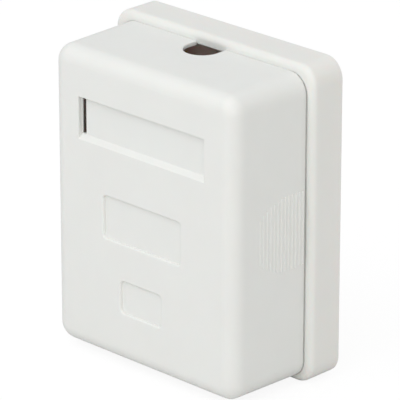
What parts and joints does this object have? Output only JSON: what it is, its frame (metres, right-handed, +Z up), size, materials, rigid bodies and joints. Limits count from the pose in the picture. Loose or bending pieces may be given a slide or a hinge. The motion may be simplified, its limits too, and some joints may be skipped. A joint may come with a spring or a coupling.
{
  "type": "surface mount jack box",
  "caption": "Surface mount jack box: wall tray and pull-off cover with cable notch, label recess and thumb grips, holding modular jacks and punch-down blocks on a board.",
  "frame": {"origin": "middle of the tray height and width on its rear face, at the wall", "axes": "+Z up, +Y into the wall, +X to the right seen from the front"},
  "size_m": [0.065, 0.0333, 0.0796],
  "materials": {
    "tray_white": "fine satin moulded ABS",
    "cover_white": "fine satin moulded ABS",
    "board_green": "solder mask over glass epoxy",
    "jack_black": "moulded polyester",
    "carrier_black": "moulded polyester",
    "contact_gold": "gold plated spring wire",
    "block_ivory": "moulded polycarbonate",
    "contact_tin": "tin plated bronze",
    "screw_zinc": "bright zinc plated steel",
    "clamp_nylon": "natural nylon"
  },
  "bodies": {
    "tray": {"base": "tray_white", "circuit_board": "board_green", "jack_left_housing": "jack_black", "jack_right_housing": "jack_black", "jack_left_carrier": "carrier_black", "jack_right_carrier": "carrier_black", "jack_left_contacts": "contact_gold", "jack_right_contacts": "contact_gold", "board_screws": "screw_zinc", "cable_clamp": "clamp_nylon", "clamp_screws": "screw_zinc", "idc_block_1": "block_ivory", "idc_contacts_1": "contact_tin", "idc_block_2": "block_ivory", "idc_contacts_2": "contact_tin", "idc_block_3": "block_ivory", "idc_contacts_3": "contact_tin", "idc_block_4": "block_ivory", "idc_contacts_4": "contact_tin"},
    "cover": {"cover": "cover_white"}
  },
  "joints": [
    {"name": "cover_pull", "type": "slide", "parent": "tray", "child": "cover", "axis": [0, -1, 0], "range_m": [0, 0.03]}
  ]
}
